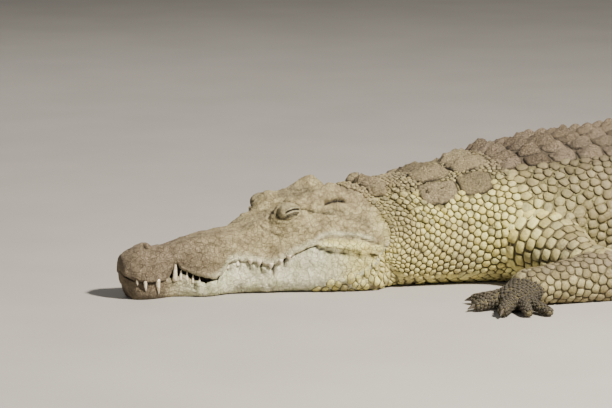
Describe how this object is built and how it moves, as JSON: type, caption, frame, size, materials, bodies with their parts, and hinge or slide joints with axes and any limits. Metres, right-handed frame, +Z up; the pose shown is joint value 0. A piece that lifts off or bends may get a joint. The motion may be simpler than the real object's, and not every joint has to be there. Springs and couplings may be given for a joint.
{
  "type": "nile crocodile figure",
  "caption": "Life-size adult Nile crocodile at rest on its belly, chin on the floor, mouth shut with the teeth showing, eyes closed, legs out to the sides and tail laid in a gentle bend",
  "frame": {"origin": "on the floor, at the middle of the belly's flat underside", "axes": "+X runs along the trunk from the head to the tail, +Y towards the animal's right side, +Z up; the head turns a little to the right of the trunk's line"},
  "size_m": [3.8475, 1.402, 0.3369],
  "materials": {
    "hide": "dry scaly hide, tan to yellow-green with dark grooves",
    "armour": "rough keeled scutes, grey-brown",
    "jaw_skin": "pale pitted skin",
    "limb_skin": "scaly hide, grey-olive with yellow scales",
    "eyelid": "wrinkled closed lids",
    "claw": "worn dark horn"
  },
  "bodies": {
    "root": {"eye_left": "eyelid", "eye_right": "eyelid", "finger_claw_left_1": "claw", "finger_claw_left_2": "claw", "finger_claw_left_3": "claw", "finger_claw_right_1": "claw", "finger_claw_right_2": "claw", "finger_claw_right_3": "claw", "foot_left": "limb_skin", "foot_right": "limb_skin", "forearm_left": "limb_skin", "forearm_right": "limb_skin", "hand_left": "limb_skin", "hand_right": "limb_skin", "head": "hide", "lower_jaw": "jaw_skin", "neck": "hide", "shank_left": "limb_skin", "shank_right": "limb_skin", "tail_1": "armour", "tail_2": "armour", "tail_3": "armour", "thigh_left": "limb_skin", "thigh_right": "limb_skin", "toe_claw_left_1": "claw", "toe_claw_left_2": "claw", "toe_claw_left_3": "claw", "toe_claw_right_1": "claw", "toe_claw_right_2": "claw", "toe_claw_right_3": "claw", "trunk_front": "armour", "trunk_rear": "armour", "upper_arm_left": "limb_skin", "upper_arm_right": "limb_skin"}
  },
  "joints": []
}
